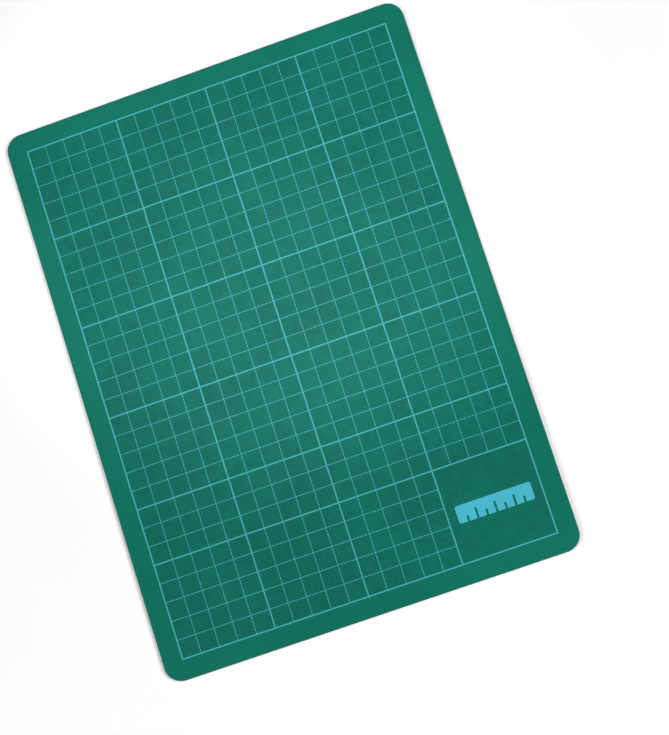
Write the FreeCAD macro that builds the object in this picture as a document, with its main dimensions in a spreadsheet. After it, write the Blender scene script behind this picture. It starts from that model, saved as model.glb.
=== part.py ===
import FreeCAD, Part
import os
import Sketcher
from FreeCAD import Placement, Rotation, Vector

# Self-healing cutting mat, A4 class, double sided.
# A hot-pressed laminate of five plies: a soft PVC face ply on each side, a thin hard ply
# under each face that stops the blade, and a softer core in the middle.  The printed field of
# each face is pressed a hair below the plain margin round it, and the screen-printed
# centimetre grid lies in that field, so the lines end level with the margin.
#
# Frame: millimetres, +Z up out of the front (green) face, +Y to the top of the print,
# origin at the centre of the back face, which is the face the mat lies on.

doc = FreeCAD.newDocument("self_healing_mat")

# ---------------------------------------------------------------- driving dimensions
DIMENSIONS = [
    ("mat_width", 221.0, "outline across the mat"),
    ("mat_length", 301.0, "outline along the mat"),
    ("corner_radius", 9.0, "die-cut corner"),
    ("rim_round", 0.3, "eased rim of each face"),
    ("face_ply", 0.8, "soft PVC face, one each side"),
    ("stiff_ply", 0.25, "hard PVC film under each face"),
    ("core_ply", 0.9, "core"),
    ("ink_film", 0.03, "thickness of the printed ink, and depth of the pressed field it lies in"),
    ("grid_width", 200.0, "printed field across, on line centres"),
    ("grid_length", 280.0, "printed field along, on line centres"),
    ("grid_pitch", 10.0, "fine line to fine line"),
    ("bold_pitch", 50.0, "bold line to bold line"),
    ("bold_line", 0.7, "width of the border and bold lines"),
    ("fine_line", 0.4, "width of the fine lines"),
    ("bar_length", 40.0, "scale bar in the corner square"),
    ("bar_height", 9.2, "scale bar in the corner square"),
    ("bar_round", 1.2, "corners of the scale bar"),
    ("notch_width", 1.1, "tick notches of the scale bar"),
    ("notch_long", 5.6, "10 mm ticks"),
    ("notch_short", 3.2, "5 mm ticks"),
]
sheet = doc.addObject("Spreadsheet::Sheet", "dims")
for row, (alias, value, note) in enumerate(DIMENSIONS, 1):
    sheet.set("A%d" % row, note)
    sheet.set("B%d" % row, repr(value))
    sheet.setAlias("B%d" % row, alias)
doc.recompute()
SIZE = {alias: value for alias, value, _ in DIMENSIONS}

# Local frame of a face: z = 0 is the bonded side, z = face_ply is the outer side.
INK_Z = "dims.face_ply - dims.ink_film"
LEFT, RIGHT = "-dims.grid_width / 2", "dims.grid_width / 2"
BOTTOM, TOP = "-dims.grid_length / 2", "dims.grid_length / 2"
BOX_LEFT = RIGHT + " - dims.bold_pitch"  # corner square, 50 x 50 mm, left without fine lines
BOX_TOP = BOTTOM + " + dims.bold_pitch"
HALF_BOLD, HALF_FINE = "dims.bold_line / 2", "dims.fine_line / 2"


def value_of(expression):
    """Present value of an expression over the sheet, to lay geometry out before it is bound."""
    return float(sheet.evalExpression(expression.replace("dims.", "")))


def origin_feature(body, role):
    return [f for f in body.Origin.OriginFeatures if f.Role == role][0]


def new_body(name):
    return doc.addObject("PartDesign::Body", name)


def rectangle_sketch(body, name, rectangles, z="0"):
    """Sketch on XY at height z, holding rectangles (x low, x high, y low, y high), each an expression."""
    sketch = body.newObject("Sketcher::SketchObject", name)
    sketch.AttachmentSupport = [(origin_feature(body, "XY_Plane"), "")]
    sketch.MapMode = "FlatFace"
    sketch.setExpression("AttachmentOffset.Base.z", z)
    for number, (x0, x1, y0, y1) in enumerate(rectangles):
        a, b, c, d = (value_of(e) for e in (x0, x1, y0, y1))
        corner = [Vector(a, c, 0), Vector(b, c, 0), Vector(b, d, 0), Vector(a, d, 0)]
        first = sketch.addGeometry(
            [Part.LineSegment(corner[i], corner[(i + 1) % 4]) for i in range(4)], False
        )[0]
        low, right, high, left = first, first + 1, first + 2, first + 3
        make = Sketcher.Constraint
        sketch.addConstraint(
            [
                make("Coincident", low, 2, right, 1),
                make("Coincident", right, 2, high, 1),
                make("Coincident", high, 2, left, 1),
                make("Coincident", left, 2, low, 1),
                make("Horizontal", low),
                make("Horizontal", high),
                make("Vertical", right),
                make("Vertical", left),
            ]
        )
        for label, constraint, expression in (
            ("x_low", make("DistanceX", -1, 1, low, 1, a), x0),
            ("x_high", make("DistanceX", -1, 1, low, 2, b), x1),
            ("y_low", make("DistanceY", -1, 1, low, 1, c), y0),
            ("y_high", make("DistanceY", -1, 1, high, 1, d), y1),
        ):
            index = sketch.addConstraint(constraint)
            sketch.renameConstraint(index, "%s_%d" % (label, number))
            sketch.setExpression("Constraints.%s_%d" % (label, number), expression)
    return sketch


def pad(body, name, sketch, height):
    feature = body.newObject("PartDesign::Pad", name)
    feature.Profile = sketch
    feature.setExpression("Length", height)
    body.Tip = feature
    return feature


def pocket_up(body, name, sketch, depth):
    """Pocket that cuts from its sketch towards +Z, where the solid is."""
    feature = body.newObject("PartDesign::Pocket", name)
    feature.Profile = sketch
    feature.setExpression("Length", depth)
    feature.Reversed = True
    body.Tip = feature
    return feature


def repeat(body, name, original, role, spacing, count, backwards=False):
    feature = body.newObject("PartDesign::LinearPattern", name)
    feature.Originals = [original]
    feature.Direction = (origin_feature(body, role), [""])
    feature.Reversed = backwards
    feature.Mode = "Spacing"
    feature.setExpression("Offset", spacing)
    feature.Occurrences = count
    body.Tip = feature
    return feature


def edges_where(shape, test):
    return ["Edge%d" % (i + 1) for i, e in enumerate(shape.Edges) if test(e)]


def is_upright(edge):
    box = edge.BoundBox
    return box.ZLength > 1e-6 and box.XLength < 1e-6 and box.YLength < 1e-6


def fillet(body, name, base, edges, radius):
    feature = body.newObject("PartDesign::Fillet", name)
    feature.Base = (base, edges)
    feature.setExpression("Radius", radius)
    body.Tip = feature
    return feature


def sheet_body(name, thickness):
    """A ply: the mat's outline with rounded corners, z from 0 to thickness."""
    body = new_body(name)
    outline = rectangle_sketch(
        body,
        name + "_outline",
        [("-dims.mat_width / 2", "dims.mat_width / 2", "-dims.mat_length / 2", "dims.mat_length / 2")],
    )
    blank = pad(body, name + "_pad", outline, thickness)
    doc.recompute()
    corners = edges_where(blank.Shape, is_upright)
    assert len(corners) == 4, corners
    rounded = fillet(body, name + "_corners", blank, corners, "dims.corner_radius")
    doc.recompute()
    return body, rounded


# ---------------------------------------------------------------- print, one film per element
# Border: one line round the whole printed field.
border = new_body("border_print")
border_sketch = rectangle_sketch(
    border,
    "border_outline",
    [
        (LEFT + " - " + HALF_BOLD, RIGHT + " + " + HALF_BOLD, BOTTOM + " - " + HALF_BOLD, TOP + " + " + HALF_BOLD),
        (LEFT + " + " + HALF_BOLD, RIGHT + " - " + HALF_BOLD, BOTTOM + " + " + HALF_BOLD, TOP + " - " + HALF_BOLD),
    ],
    INK_Z,
)
pad(border, "border_pad", border_sketch, "dims.ink_film")

# Bold lines: every 50 mm from the top left corner, and the one that closes the corner square.
bold = new_body("bold_print")
bold_up = pad(
    bold,
    "bold_up_pad",
    rectangle_sketch(
        bold,
        "bold_up",
        [
            (
                LEFT + " + dims.bold_pitch - " + HALF_BOLD,
                LEFT + " + dims.bold_pitch + " + HALF_BOLD,
                BOTTOM + " + " + HALF_BOLD,
                TOP + " - " + HALF_BOLD,
            )
        ],
        INK_Z,
    ),
    "dims.ink_film",
)
repeat(bold, "bold_up_row", bold_up, "X_Axis", "dims.bold_pitch", 3)
bold_across = pad(
    bold,
    "bold_across_pad",
    rectangle_sketch(
        bold,
        "bold_across",
        [
            (
                LEFT + " + " + HALF_BOLD,
                RIGHT + " - " + HALF_BOLD,
                TOP + " - dims.bold_pitch - " + HALF_BOLD,
                TOP + " - dims.bold_pitch + " + HALF_BOLD,
            )
        ],
        INK_Z,
    ),
    "dims.ink_film",
)
repeat(bold, "bold_across_row", bold_across, "Y_Axis", "dims.bold_pitch", 4, backwards=True)
pad(
    bold,
    "bold_box_top_pad",
    rectangle_sketch(
        bold,
        "bold_box_top",
        [
            (
                LEFT + " + " + HALF_BOLD,
                RIGHT + " - " + HALF_BOLD,
                BOX_TOP + " - " + HALF_BOLD,
                BOX_TOP + " + " + HALF_BOLD,
            )
        ],
        INK_Z,
    ),
    "dims.ink_film",
)

# Fine lines: every 10 mm, broken wherever a bold line runs, so they fall into separate lattices,
# one inside each bold square; the last but one row of squares is short, and the corner square
# has no lattice.
SHORT_ROW = "(dims.grid_length - 5 * dims.bold_pitch)"


def lattice(name, along_y, lines_across):
    """Fine lattice of one bold square, its lower left line crossing at the origin."""
    body = new_body(name)
    up = pad(
        body,
        name + "_up_pad",
        rectangle_sketch(
            body,
            name + "_up",
            [
                (
                    "dims.grid_pitch - " + HALF_FINE,
                    "dims.grid_pitch + " + HALF_FINE,
                    HALF_BOLD,
                    along_y + " - " + HALF_BOLD,
                )
            ],
            INK_Z,
        ),
        "dims.ink_film",
    )
    repeat(body, name + "_up_row", up, "X_Axis", "dims.grid_pitch", 4)
    across = pad(
        body,
        name + "_across_pad",
        rectangle_sketch(
            body,
            name + "_across",
            [
                (
                    HALF_BOLD,
                    "dims.bold_pitch - " + HALF_BOLD,
                    "dims.grid_pitch - " + HALF_FINE,
                    "dims.grid_pitch + " + HALF_FINE,
                )
            ],
            INK_Z,
        ),
        "dims.ink_film",
    )
    repeat(body, name + "_across_row", across, "Y_Axis", "dims.grid_pitch", lines_across)
    return body


square_lattice = lattice("square_lattice", "dims.bold_pitch", 4)
short_lattice = lattice("short_lattice", SHORT_ROW, 2)
doc.recompute()

lattices = []
for column in range(4):
    x = LEFT + " + %d * dims.bold_pitch" % column
    for row in range(6):
        if row == 0 and column == 3:
            continue
        if row == 0:
            y = BOTTOM
        elif row == 1:
            y = BOX_TOP
        else:
            y = TOP + " - %d * dims.bold_pitch" % (6 - row)
        placed = doc.addObject("Part::Compound", "lattice_%d_%d" % (column, row))
        placed.Links = [short_lattice if row == 1 else square_lattice]
        placed.setExpression("Placement.Base.x", x)
        placed.setExpression("Placement.Base.y", y)
        lattices.append(placed)
fine = doc.addObject("Part::Compound", "fine_print")
fine.Links = lattices
doc.recompute()

# Scale bar: a solid printed block in the corner square, its ticks left clear.
bar = new_body("scale_bar_print")
BAR_LEFT = BOX_LEFT + " + (dims.bold_pitch - dims.bar_length) / 2"
BAR_BOTTOM = BOTTOM + " + (dims.bold_pitch - dims.bar_height) / 2 - dims.notch_width / 2"
bar_block = pad(
    bar,
    "bar_pad",
    rectangle_sketch(
        bar,
        "bar_block",
        [(BAR_LEFT, BAR_LEFT + " + dims.bar_length", BAR_BOTTOM, BAR_BOTTOM + " + dims.bar_height")],
        INK_Z,
    ),
    "dims.ink_film",
)
doc.recompute()
bar_rounded = fillet(bar, "bar_corners", bar_block, edges_where(bar_block.Shape, is_upright), "dims.bar_round")
doc.recompute()


def notch(name, along, depth):
    return pocket_up(
        bar,
        name + "_pocket",
        rectangle_sketch(
            bar,
            name,
            [
                (
                    BAR_LEFT + " + " + along + " - dims.notch_width / 2",
                    BAR_LEFT + " + " + along + " + dims.notch_width / 2",
                    BAR_BOTTOM + " - dims.notch_width",
                    BAR_BOTTOM + " + " + depth,
                )
            ],
            INK_Z,
        ),
        "dims.ink_film",
    )


repeat(bar, "notch_long_row", notch("notch_long_first", "dims.grid_pitch", "dims.notch_long"), "X_Axis", "dims.grid_pitch", 3)
repeat(
    bar,
    "notch_short_row",
    notch("notch_short_first", "dims.grid_pitch / 2", "dims.notch_short"),
    "X_Axis",
    "dims.grid_pitch",
    4,
)
doc.recompute()

# ---------------------------------------------------------------- plies
face, face_rounded = sheet_body("face_sheet", "dims.face_ply")
rim = edges_where(
    face_rounded.Shape,
    lambda e: abs(e.BoundBox.ZMin - SIZE["face_ply"]) < 1e-6 and abs(e.BoundBox.ZMax - SIZE["face_ply"]) < 1e-6,
)
assert len(rim) == 8, rim
rim_eased = fillet(face, "face_rim", face_rounded, rim, "dims.rim_round")
pocket_up(
    face,
    "field_press",
    rectangle_sketch(
        face,
        "field_outline",
        [(LEFT + " - " + HALF_BOLD, RIGHT + " + " + HALF_BOLD, BOTTOM + " - " + HALF_BOLD, TOP + " + " + HALF_BOLD)],
        INK_Z,
    ),
    "dims.ink_film",
)

stiff, _ = sheet_body("stiff_sheet", "dims.stiff_ply")
core, _ = sheet_body("core_sheet", "dims.core_ply")
doc.recompute()

# ---------------------------------------------------------------- the mat, one object a sub-part
FRONT_Z = "dims.face_ply + 2 * dims.stiff_ply + dims.core_ply"
BACK_TURN = Rotation(Vector(0, 1, 0), 180)  # the back print reads the right way up once the mat is turned over


def sub_part(label, master, z, turn=Rotation()):
    item = doc.addObject("Part::Compound", label)
    item.Label = label
    item.Links = [master]
    item.Placement = Placement(Vector(0, 0, value_of(z)), turn)
    item.setExpression("Placement.Base.z", z)
    return item


SUB_PARTS = [
    sub_part("back_face_ply", face, "dims.face_ply", BACK_TURN),
    sub_part("back_border_line", border, "dims.face_ply", BACK_TURN),
    sub_part("back_bold_grid", bold, "dims.face_ply", BACK_TURN),
    sub_part("back_fine_grid", fine, "dims.face_ply", BACK_TURN),
    sub_part("back_scale_bar", bar, "dims.face_ply", BACK_TURN),
    sub_part("back_stiffener_ply", stiff, "dims.face_ply"),
    sub_part("core_ply", core, "dims.face_ply + dims.stiff_ply"),
    sub_part("front_stiffener_ply", stiff, "dims.face_ply + dims.stiff_ply + dims.core_ply"),
    sub_part("front_face_ply", face, FRONT_Z),
    sub_part("front_border_line", border, FRONT_Z),
    sub_part("front_bold_grid", bold, FRONT_Z),
    sub_part("front_fine_grid", fine, FRONT_Z),
    sub_part("front_scale_bar", bar, FRONT_Z),
]
doc.recompute()

# ---------------------------------------------------------------- checks before anything is written
for item in doc.Objects:
    bad = [state for state in item.State if state in ("Invalid", "Error")]
    assert not bad, (item.Name, item.State)

field = (SIZE["grid_width"] + SIZE["bold_line"]) * (SIZE["grid_length"] + SIZE["bold_line"]) * SIZE["ink_film"]
pressed = rim_eased.Shape.Volume - face.Shape.Volume
assert abs(pressed - field) < 0.01, (pressed, field)
assert len(fine.Shape.Solids) == 23, len(fine.Shape.Solids)
notches = (3 * SIZE["notch_long"] + 4 * SIZE["notch_short"]) * SIZE["notch_width"] * SIZE["ink_film"]
cut_away = bar_rounded.Shape.Volume - bar.Shape.Volume
assert abs(cut_away - notches) < 0.01, (cut_away, notches)

os.makedirs("parts", exist_ok=True)
for item in SUB_PARTS:
    shape = item.Shape
    assert not shape.isNull() and shape.isValid() and shape.Solids, item.Label
    shape.exportStep(os.path.join("parts", item.Label + ".step"))
    box = shape.BoundBox
    print(
        "%-22s solids %2d faces %5d volume %10.3f  z %.3f to %.3f"
        % (item.Label, len(shape.Solids), len(shape.Faces), shape.Volume, box.ZMin, box.ZMax)
    )
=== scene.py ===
import math

import bpy
from mathutils import Matrix, Vector


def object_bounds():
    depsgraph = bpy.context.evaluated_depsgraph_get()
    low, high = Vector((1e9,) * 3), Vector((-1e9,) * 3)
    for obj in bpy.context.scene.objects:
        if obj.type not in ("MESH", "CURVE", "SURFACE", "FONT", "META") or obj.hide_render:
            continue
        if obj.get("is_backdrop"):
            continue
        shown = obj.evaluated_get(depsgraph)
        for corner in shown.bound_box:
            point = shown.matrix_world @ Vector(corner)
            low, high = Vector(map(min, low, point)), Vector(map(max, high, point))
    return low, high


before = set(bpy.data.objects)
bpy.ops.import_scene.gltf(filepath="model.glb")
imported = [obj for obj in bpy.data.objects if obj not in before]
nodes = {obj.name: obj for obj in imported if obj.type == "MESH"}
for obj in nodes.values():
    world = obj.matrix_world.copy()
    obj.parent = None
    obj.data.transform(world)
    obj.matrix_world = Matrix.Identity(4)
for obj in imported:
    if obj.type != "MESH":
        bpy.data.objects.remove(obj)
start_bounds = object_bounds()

scene = bpy.context.scene

# ------------------------------------------------------------------ small node-graph helper
MM = 0.001


class Graph:
    """Builds one material's nodes; every method returns an output socket."""

    def __init__(self, name):
        self.material = bpy.data.materials.new(name)
        self.material.use_nodes = True
        self.tree = self.material.node_tree
        self.tree.nodes.clear()
        self.out = self.tree.nodes.new("ShaderNodeOutputMaterial")
        self.shader = self.tree.nodes.new("ShaderNodeBsdfPrincipled")
        self.tree.links.new(self.shader.outputs["BSDF"], self.out.inputs["Surface"])
        self.position = self.tree.nodes.new("ShaderNodeTexCoord").outputs["Object"]
        split = self.tree.nodes.new("ShaderNodeSeparateXYZ")
        self.tree.links.new(self.position, split.inputs[0])
        self.x, self.y, self.z = split.outputs

    def put(self, socket, value):
        if isinstance(value, bpy.types.NodeSocket):
            self.tree.links.new(value, socket)
        else:
            socket.default_value = value

    def math(self, operation, a, b=None, c=None, clamp=False):
        node = self.tree.nodes.new("ShaderNodeMath")
        node.operation = operation
        node.use_clamp = clamp
        for i, v in enumerate((a, b, c)):
            if v is not None:
                self.put(node.inputs[i], v)
        return node.outputs[0]

    def ramp(self, value, low, high, out_low=0.0, out_high=1.0, smooth=True):
        node = self.tree.nodes.new("ShaderNodeMapRange")
        node.interpolation_type = "SMOOTHSTEP" if smooth else "LINEAR"
        self.put(node.inputs["Value"], value)
        for key, v in (("From Min", low), ("From Max", high), ("To Min", out_low), ("To Max", out_high)):
            self.put(node.inputs[key], v)
        return node.outputs["Result"]

    def noise(self, size_mm, detail=2.0, roughness=0.5, stretch=None, seed=0.0):
        """Noise whose features are about size_mm across, about 0..1 round 0.5."""
        coordinates = self.position
        if stretch is not None or seed:
            mapping = self.tree.nodes.new("ShaderNodeMapping")
            self.tree.links.new(self.position, mapping.inputs["Vector"])
            mapping.inputs["Location"].default_value = (seed, seed * 0.7, seed * 1.3)
            mapping.inputs["Scale"].default_value = stretch or (1.0, 1.0, 1.0)
            coordinates = mapping.outputs["Vector"]
        node = self.tree.nodes.new("ShaderNodeTexNoise")
        self.tree.links.new(coordinates, node.inputs["Vector"])
        node.inputs["Scale"].default_value = 1.0 / (size_mm * MM)
        node.inputs["Detail"].default_value = detail
        node.inputs["Roughness"].default_value = roughness
        return node.outputs["Fac"]

    def mix(self, factor, a, b):
        node = self.tree.nodes.new("ShaderNodeMix")
        node.data_type = "RGBA"
        self.put(node.inputs["Factor"], factor)
        for key, v in (("A", a), ("B", b)):
            socket = [s for s in node.inputs if s.name == key and s.type == "RGBA"][0]
            self.put(socket, v if isinstance(v, bpy.types.NodeSocket) else (*v, 1.0))
        return [s for s in node.outputs if s.type == "RGBA"][0]

    def scale(self, colour, factor):
        """Colour times a number."""
        node = self.tree.nodes.new("ShaderNodeVectorMath")
        node.operation = "SCALE"
        self.put(node.inputs[0], colour)
        self.put(node.inputs["Scale"], factor)
        return node.outputs[0]

    def bump(self, height, distance, strength=1.0, normal=None):
        node = self.tree.nodes.new("ShaderNodeBump")
        node.inputs["Strength"].default_value = strength
        node.inputs["Distance"].default_value = distance
        self.tree.links.new(height, node.inputs["Height"])
        if normal is not None:
            self.tree.links.new(normal, node.inputs["Normal"])
        return node.outputs["Normal"]

    # -------- the pressed texture of the printed field: a square lattice of dots set at 45 degrees
    def dots(self, low=-1.1, high=1.9, period_mm=1.44):
        """0 in the hollows, 1 on the dots; low and high set how wide the dots are."""
        turn = 2 * math.pi / (period_mm * MM * math.sqrt(2))
        u = self.math("MULTIPLY", self.math("ADD", self.x, self.y), turn)
        v = self.math("MULTIPLY", self.math("SUBTRACT", self.x, self.y), turn)
        both = self.math("ADD", self.math("COSINE", u), self.math("COSINE", v))
        return self.ramp(both, low, high)

    def field(self):
        """1 inside the printed field, 0 on the plain margin."""
        across = self.ramp(self.math("ABSOLUTE", self.x), 99.6 * MM, 100.2 * MM, 1.0, 0.0)
        along = self.ramp(self.math("ABSOLUTE", self.y), 139.6 * MM, 140.2 * MM, 1.0, 0.0)
        return self.math("MULTIPLY", across, along)


def srgb(r, g, b):
    """Display colour 0..255 to the linear values Blender works in."""
    return tuple(((c / 255 + 0.055) / 1.055) ** 2.4 if c > 10.31 else c / 255 / 12.92 for c in (r, g, b))


def scaled(colour, k):
    return tuple(min(1.0, c * k) for c in colour)


# ------------------------------------------------------------------ materials
def vinyl(name, base, margin, dot_highlight, dot_depth, dot_highlight_amount, roughness, hollow, top, specular, dot_low=-1.1):
    """Soft PVC face: plain matte margin, dotted field inside the border line, with a painted highlight (a lighter
    colour) on the dot tops.
    """
    g = Graph(name)
    dots, field = g.dots(dot_low), g.field()
    cloud = g.noise(55.0, 3.0)
    grain = g.noise(0.45, 2.0)
    patch = g.noise(7.0, 2.0, seed=0.31)
    low, high = (g.mix(field, scaled(margin, k), scaled(base, k)) for k in (0.95, 1.06))
    colour = g.mix(g.ramp(cloud, 0.35, 0.65), low, high)
    blotch = g.ramp(g.noise(6.0, 3.0, 0.6, seed=0.47), 0.3, 0.7, -0.06, 0.06)
    mottle = g.ramp(g.noise(1.5, 2.0, 0.6, seed=0.71), 0.3, 0.7, -0.05, 0.05, smooth=False)
    tone = g.math("ADD", g.math("MULTIPLY", g.math("ADD", blotch, mottle), field), g.ramp(grain, 0.3, 0.7, 1.03, 0.88))
    colour = g.scale(colour, tone)
    # painted highlight on the dot tops: a lighter colour inside the field, stronger on some dots than on others
    highlight_patch_weight = g.ramp(patch, 0.3, 0.7, 0.6, 1.0)
    uneven = g.ramp(g.noise(1.3, 2.0, 0.6, seed=0.13), 0.34, 0.66, 0.3, 1.35, smooth=False)
    highlight_patch_weight = g.math("MULTIPLY", highlight_patch_weight, uneven)
    dot_highlight_weight = g.math("MULTIPLY", g.math("MULTIPLY", dots, field), g.math("MULTIPLY", highlight_patch_weight, dot_highlight_amount))
    colour = g.mix(dot_highlight_weight, colour, dot_highlight)
    g.put(g.shader.inputs["Base Color"], colour)
    pressed_rough = g.ramp(dots, 0.0, 1.0, hollow, top, smooth=False)
    rough = g.ramp(field, 0.0, 1.0, roughness, pressed_rough, smooth=False)
    g.put(g.shader.inputs["Roughness"], g.math("ADD", rough, g.ramp(grain, 0.2, 0.8, -0.04, 0.04)))
    g.shader.inputs["Specular IOR Level"].default_value = specular
    height = g.math("MULTIPLY", g.math("MULTIPLY", dots, field), g.ramp(uneven, 0.3, 1.35, 0.45, 1.0, smooth=False))
    pressed = g.bump(height, dot_depth * MM)
    skin = g.bump(grain, 0.012 * MM, 0.6, pressed)
    g.put(g.shader.inputs["Normal"], skin)
    return g.material


def ink(name, ink_colour, ply_colour, hold, edge, dot_depth, roughness, specular):
    """Screen print over the dotted face: full on the dots, thinner in the hollows."""
    g = Graph(name)
    dots = g.dots()
    worn = g.noise(0.9, 3.0, 0.6)
    wide = g.noise(24.0, 2.0, seed=0.83)
    cover = g.math("ADD", g.math("MULTIPLY", dots, 1.0 - edge), edge)
    cover = g.math("MULTIPLY", cover, g.ramp(worn, 0.28, 0.62, 0.5 + edge * 0.45, 1.0))
    cover = g.math("MULTIPLY", cover, g.ramp(wide, 0.3, 0.7, 0.93, 1.0))
    cover = g.math("MULTIPLY", cover, hold, clamp=True)
    g.put(g.shader.inputs["Base Color"], g.mix(cover, ply_colour, ink_colour))
    g.put(g.shader.inputs["Roughness"], g.ramp(worn, 0.2, 0.8, roughness - 0.05, roughness + 0.05))
    g.shader.inputs["Specular IOR Level"].default_value = specular
    g.put(g.shader.inputs["Normal"], g.bump(dots, dot_depth * MM))
    return g.material


def edge_ply(name, colour, roughness):
    """Cut edge of an inner ply: fine drag lines along the cut and a little dust."""
    g = Graph(name)
    drag = g.noise(1.2, 3.0, 0.6, stretch=(0.35, 0.35, 9.0))
    dust = g.noise(3.5, 2.0, seed=0.57)
    tone = g.mix(g.ramp(drag, 0.3, 0.7), scaled(colour, 0.84), scaled(colour, 1.08))
    g.put(g.shader.inputs["Base Color"], g.mix(g.ramp(dust, 0.45, 0.8, 0.0, 0.35), tone, scaled(colour, 0.7)))
    g.put(g.shader.inputs["Roughness"], g.ramp(drag, 0.3, 0.7, roughness - 0.06, roughness + 0.06))
    g.shader.inputs["Specular IOR Level"].default_value = 0.3
    g.put(g.shader.inputs["Normal"], g.bump(drag, 0.05 * MM, 0.7))
    return g.material


GREEN = srgb(8, 107, 91)
GREEN_MARGIN = srgb(9, 114, 95)
# lighter colour painted on the green dot tops as a painted highlight
GREEN_DOT_HIGHLIGHT = srgb(38, 136, 123)
CYAN = srgb(76, 188, 211)
CYAN_LINE = srgb(80, 185, 198)
CHARCOAL = srgb(35, 61, 68)
# lighter colour painted on the charcoal dot tops as a painted highlight
CHARCOAL_DOT_HIGHLIGHT = srgb(70, 137, 151)
SLATE = srgb(85, 130, 142)
SLATE_LINE = srgb(89, 138, 145)

green_face = vinyl("green vinyl", GREEN, GREEN_MARGIN, GREEN_DOT_HIGHLIGHT, 0.065, 0.26, 0.46, 0.50, 0.28, 0.073, -0.3)
charcoal_face = vinyl("charcoal vinyl", CHARCOAL, CHARCOAL, CHARCOAL_DOT_HIGHLIGHT, 0.13, 0.60, 0.46, 0.48, 0.36, 0.075, -0.2)
LOOKS = {
    "front_face_ply": green_face,
    "front_border_line": ink("cyan border ink", CYAN_LINE, GREEN, 0.88, 0.86, 0.03, 0.5, 0.12),
    "front_bold_grid": ink("cyan bold ink", CYAN_LINE, GREEN, 0.90, 0.80, 0.04, 0.5, 0.12),
    "front_fine_grid": ink("cyan fine ink", CYAN_LINE, GREEN, 1.03, 0.45, 0.05, 0.5, 0.12),
    "front_scale_bar": ink("cyan bar ink", CYAN, GREEN, 0.98, 0.97, 0.015, 0.5, 0.12),
    "back_face_ply": charcoal_face,
    "back_border_line": ink("slate border ink", SLATE_LINE, CHARCOAL, 0.62, 0.80, 0.05, 0.55, 0.12),
    "back_bold_grid": ink("slate bold ink", SLATE_LINE, CHARCOAL, 0.66, 0.60, 0.08, 0.55, 0.12),
    "back_fine_grid": ink("slate fine ink", SLATE_LINE, CHARCOAL, 0.66, 0.30, 0.10, 0.55, 0.12),
    "back_scale_bar": ink("slate bar ink", SLATE, CHARCOAL, 0.96, 0.74, 0.06, 0.55, 0.12),
    "front_stiffener_ply": edge_ply("front stiffener edge", srgb(196, 192, 180), 0.6),
    "back_stiffener_ply": edge_ply("back stiffener edge", srgb(188, 184, 174), 0.6),
    "core_ply": edge_ply("core edge", srgb(150, 145, 134), 0.7),
}
for name, look in LOOKS.items():
    node = nodes[name]
    node.data.materials.clear()
    node.data.materials.append(look)

# ------------------------------------------------------------------ floor
bpy.ops.mesh.primitive_circle_add(vertices=96, radius=1.6, fill_type="NGON", location=(0.0, 0.0, -0.0002))
floor = bpy.context.object
floor.name = "floor"
paper = Graph("floor paper")
fibre = paper.noise(60.0, 3.0)
paper.put(paper.shader.inputs["Base Color"], paper.mix(fibre, (0.96, 0.96, 0.96), (0.98, 0.98, 0.98)))
paper.shader.inputs["Roughness"].default_value = 0.9
paper.shader.inputs["Specular IOR Level"].default_value = 0.0
paper.shader.inputs["Emission Color"].default_value = (1.0, 1.0, 1.0, 1.0)
paper.shader.inputs["Emission Strength"].default_value = 0.08
floor.data.materials.append(paper.material)
floor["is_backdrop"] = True

# ------------------------------------------------------------------ light
world = bpy.data.worlds.new("studio")
world.use_nodes = True
background = world.node_tree.nodes["Background"]
background.inputs["Color"].default_value = (0.97, 0.99, 1.0, 1.0)
# pale round the horizon, dim overhead, where the lamps are
sky = world.node_tree.nodes.new("ShaderNodeTexCoord")
height = world.node_tree.nodes.new("ShaderNodeSeparateXYZ")
fade = world.node_tree.nodes.new("ShaderNodeMapRange")
fade.interpolation_type = "SMOOTHSTEP"
for key, value in (("From Min", 0.04), ("From Max", 0.2), ("To Min", 0.9), ("To Max", 0.04)):
    fade.inputs[key].default_value = value
world.node_tree.links.new(sky.outputs["Generated"], height.inputs[0])
world.node_tree.links.new(height.outputs["Z"], fade.inputs["Value"])
world.node_tree.links.new(fade.outputs["Result"], background.inputs["Strength"])
scene.world = world


def aim(item, location, target):
    direction = Vector(target) - Vector(location)
    item.location = location
    item.rotation_euler = direction.to_track_quat("-Z", "Y").to_euler()


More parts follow.
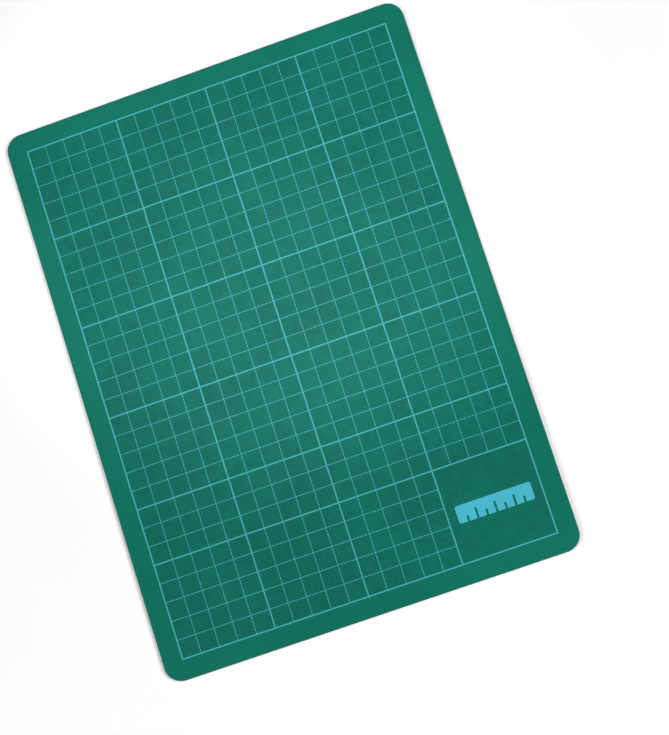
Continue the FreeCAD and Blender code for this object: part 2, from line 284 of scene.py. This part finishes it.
def area(name, location, target, size, watts, colour):
    light = bpy.data.lights.new(name, "AREA")
    light.shape = "SQUARE"
    light.size = size
    light.energy = watts
    light.color = colour
    item = bpy.data.objects.new(name, light)
    scene.collection.objects.link(item)
    aim(item, location, target)
    return item


def spot(name, location, target, radius, watts, cone, blend, colour):
    light = bpy.data.lights.new(name, "SPOT")
    light.energy = watts
    light.color = colour
    light.spot_size = math.radians(cone)
    light.spot_blend = blend
    light.shadow_soft_size = radius
    item = bpy.data.objects.new(name, light)
    scene.collection.objects.link(item)
    aim(item, location, target)
    return item


area("key", (-1.25, -0.35, 1.8), (0.0, -0.05, 0.0), 1.1, 21.0, (1.0, 1.0, 0.98))
area("fill", (0.95, -0.5, 1.6), (0.05, -0.05, 0.0), 0.8, 26.2, (0.98, 0.99, 0.99))
spot("glow wide", (-0.154, 0.296, 1.360), (0.010, 0.090, 0.000), 0.03, 13.2, 13.99, 0.3, (0.95, 0.9, 1.0))
spot("glow", (-0.154, 0.296, 1.360), (0.010, 0.030, 0.000), 0.06, 19.0, 10.65, 0.9, (0.95, 0.9, 1.0))

# ------------------------------------------------------------------ camera
RIGHT = (0.94038517, -0.30355136, -0.15340245)
DOWN = (-0.32622275, -0.93260098, -0.15438304)
FORWARD = (-0.09620010, 0.19522289, -0.97602949)
EYE = (0.148511, -0.285552, 1.310811 + 0.003)
camera_data = bpy.data.cameras.new("camera")
camera_data.lens = 2631.77 / 735 * 36.0
camera_data.sensor_width = 36.0
camera_data.clip_start = 0.05
camera_data.clip_end = 20.0
camera = bpy.data.objects.new("camera", camera_data)
scene.collection.objects.link(camera)
camera.matrix_world = Matrix(
    [(RIGHT[i], -DOWN[i], -FORWARD[i], EYE[i]) for i in range(3)] + [(0.0, 0.0, 0.0, 1.0)]
)
scene.camera = camera

scene.view_settings.view_transform = "Standard"
scene.view_settings.look = "None"
scene.view_settings.exposure = 0.0
scene.view_settings.gamma = 1.0

end_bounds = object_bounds()


def plain(value):
    if isinstance(value, dict):
        return {str(k): plain(v) for k, v in value.items()}
    if isinstance(value, (str, int, float, bool)) or value is None:
        return value
    return [plain(v) for v in value]


{"start": plain(start_bounds), "end": plain(end_bounds)}
